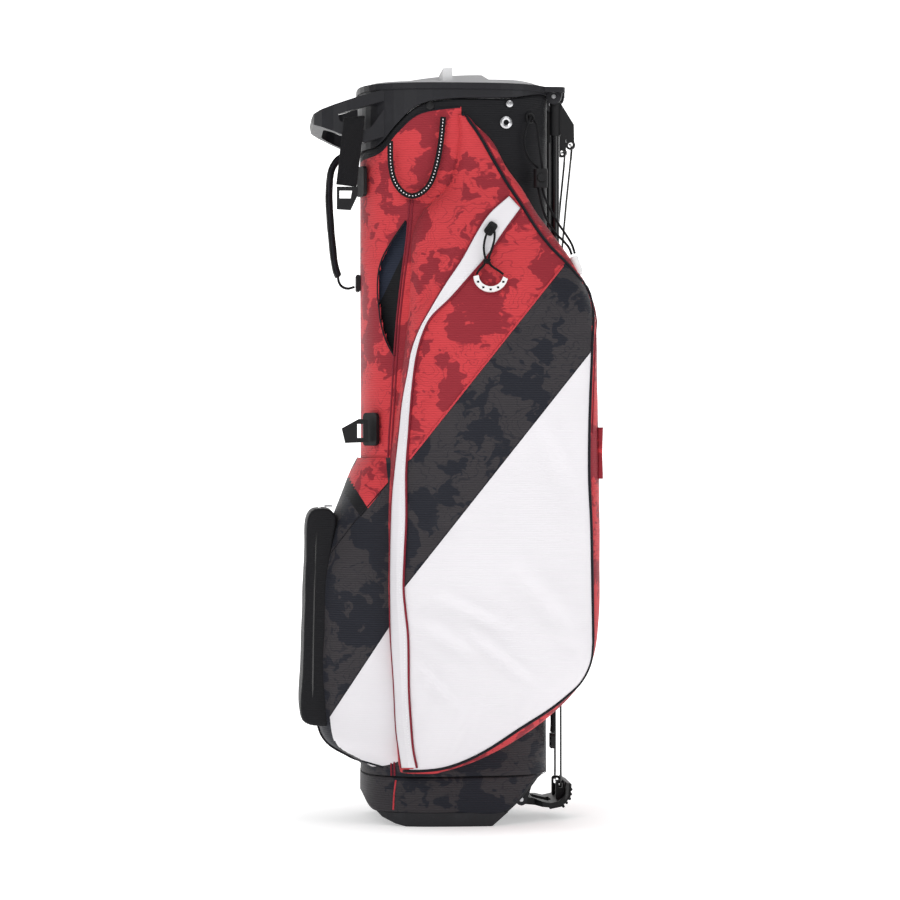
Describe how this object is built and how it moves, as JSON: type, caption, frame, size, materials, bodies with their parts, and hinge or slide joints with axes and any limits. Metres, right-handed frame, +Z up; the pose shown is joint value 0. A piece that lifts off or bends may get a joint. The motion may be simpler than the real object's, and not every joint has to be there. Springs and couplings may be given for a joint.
{
  "type": "golf stand bag",
  "caption": "Upright golf stand bag: fabric tube with moulded collar and base, side pockets, ball pocket and folding legs that a foot lever opens.",
  "frame": {"origin": "on the base's flat bottom, on the centre line of the club tube", "axes": "+Z up along the tube; +X towards the legs; -X towards the spine and lift handle; -Y towards the side pocket with the zip flap"},
  "size_m": [0.3486, 0.2813, 0.875],
  "materials": {
    "red_fabric": "ripstop",
    "dark_fabric": "ripstop",
    "black_fabric": "ripstop",
    "white_fabric": "coated",
    "webbing": "woven",
    "black_plastic": "satin",
    "grey_plastic": "satin",
    "rubber": "matt",
    "black_metal": "gloss black",
    "steel": "plated"
  },
  "bodies": {
    "bag": {"accessory_pocket": "black_fabric", "accessory_zip_pull": "steel", "ball_pocket": "dark_fabric", "base_cuff": "dark_fabric", "base_moulding": "black_plastic", "cord_eyelet": "black_plastic", "cord_lock": "black_plastic", "cord_tip": "white_fabric", "divider_sheets": "black_fabric", "divider_top": "grey_plastic", "elastic_cord_leg_strand": "webbing", "elastic_cord_spine_strand": "webbing", "far_leg_pin": "steel", "far_leg_spring": "steel", "far_pocket": "dark_fabric", "far_rivet_steel": "steel", "grab_handle": "webbing", "grab_handle_anchor": "black_plastic", "grab_handle_tie": "webbing", "grommet": "steel", "gusset_sleeve": "red_fabric", "ladder_lock": "black_plastic", "lever_pin": "steel", "lower_anchor": "black_plastic", "lower_strap": "webbing", "near_leg_pin": "steel", "near_leg_spring": "steel", "near_pocket": "red_fabric", "near_rivet_black": "black_plastic", "near_rivet_steel": "steel", "slit_pocket_pouch": "black_fabric", "spine_stay_far": "black_metal", "spine_stay_near": "black_metal", "top_collar": "black_plastic", "tube_far_panel": "red_fabric", "tube_leg_panel": "black_fabric", "tube_near_panel": "red_fabric", "tube_spine_panel": "red_fabric", "upper_anchor": "black_plastic", "upper_strap": "webbing", "webbing_loop": "webbing", "zip_flap": "white_fabric"},
    "near_leg": {"near_leg_yoke": "black_plastic", "near_leg_tube": "black_metal", "near_leg_foot": "rubber"},
    "far_leg": {"far_leg_yoke": "black_plastic", "far_leg_tube": "black_metal", "far_leg_foot": "rubber"},
    "near_rod": {"near_rod": "black_metal"},
    "far_rod": {"far_rod": "black_metal"},
    "foot_lever": {"foot_lever": "black_plastic", "lever_pad": "rubber"},
    "zip_slider": {"zip_slider": "black_plastic"},
    "zip_pull": {"zip_pull_cord": "webbing", "zip_grip": "grey_plastic"},
    "upper_clip": {"upper_clip": "black_plastic"},
    "lower_clip": {"lower_clip": "black_plastic"},
    "lock_button": {"cord_lock_button": "black_plastic"}
  },
  "joints": [
    {"name": "near_leg_swing", "type": "hinge", "parent": "bag", "child": "near_leg", "pos_m": [0.117, -0.042, 0.845], "axis": [-0.2588, -0.9659, 0], "range_deg": [0, 26], "stiffness_Nm_per_rad": 0.5, "springref_deg": -11.46},
    {"name": "far_leg_swing", "type": "hinge", "parent": "bag", "child": "far_leg", "pos_m": [0.117, 0.042, 0.845], "axis": [0.2588, -0.9659, 0], "range_deg": [0, 26]},
    {"name": "near_rod_hinge", "type": "hinge", "parent": "near_leg", "child": "near_rod", "pos_m": [0.13439, -0.04666, 0.789], "axis": [-0.2588, -0.9659, 0], "range_deg": [-28.4, 0]},
    {"name": "far_rod_hinge", "type": "hinge", "parent": "far_leg", "child": "far_rod", "pos_m": [0.13439, 0.04666, 0.789], "axis": [0.2588, -0.9659, 0], "range_deg": [-28.4, 0]},
    {"name": "foot_lever_tilt", "type": "hinge", "parent": "bag", "child": "foot_lever", "pos_m": [0.078, 0, 0.024], "axis": [0, -1, 0], "range_deg": [0, 19]},
    {"name": "zip_slide", "type": "slide", "parent": "bag", "child": "zip_slider", "axis": [-0.5678, -0.1404, -0.8111], "range_m": [0, 0.05]},
    {"name": "zip_pull_swing", "type": "hinge", "parent": "zip_slider", "child": "zip_pull", "pos_m": [0.034, -0.13659, 0.685], "axis": [0, -0.9902, 0.1397], "range_deg": [-30, 30]},
    {"name": "upper_clip_swing", "type": "hinge", "parent": "bag", "child": "upper_clip", "pos_m": [-0.12855, -0.0824, 0.7358], "axis": [1, 0, 0], "range_deg": [-45, 35]},
    {"name": "lower_clip_swing", "type": "hinge", "parent": "bag", "child": "lower_clip", "pos_m": [-0.10756, -0.07, 0.457], "axis": [0, 0, 1], "range_deg": [-20, 30]},
    {"name": "lock_button_press", "type": "slide", "parent": "bag", "child": "lock_button", "axis": [0, 1, 0], "range_m": [0, 0.003], "stiffness_N_per_m": 300, "springref_m": -0.002}
  ],
  "couplings": [
    {"joint": "far_leg_swing", "follows": "near_leg_swing", "ratio": 1},
    {"joint": "near_rod_hinge", "follows": "near_leg_swing", "ratio": -1.0905},
    {"joint": "far_rod_hinge", "follows": "near_leg_swing", "ratio": -1.0905},
    {"joint": "foot_lever_tilt", "follows": "near_leg_swing", "ratio": 0.7307}
  ]
}
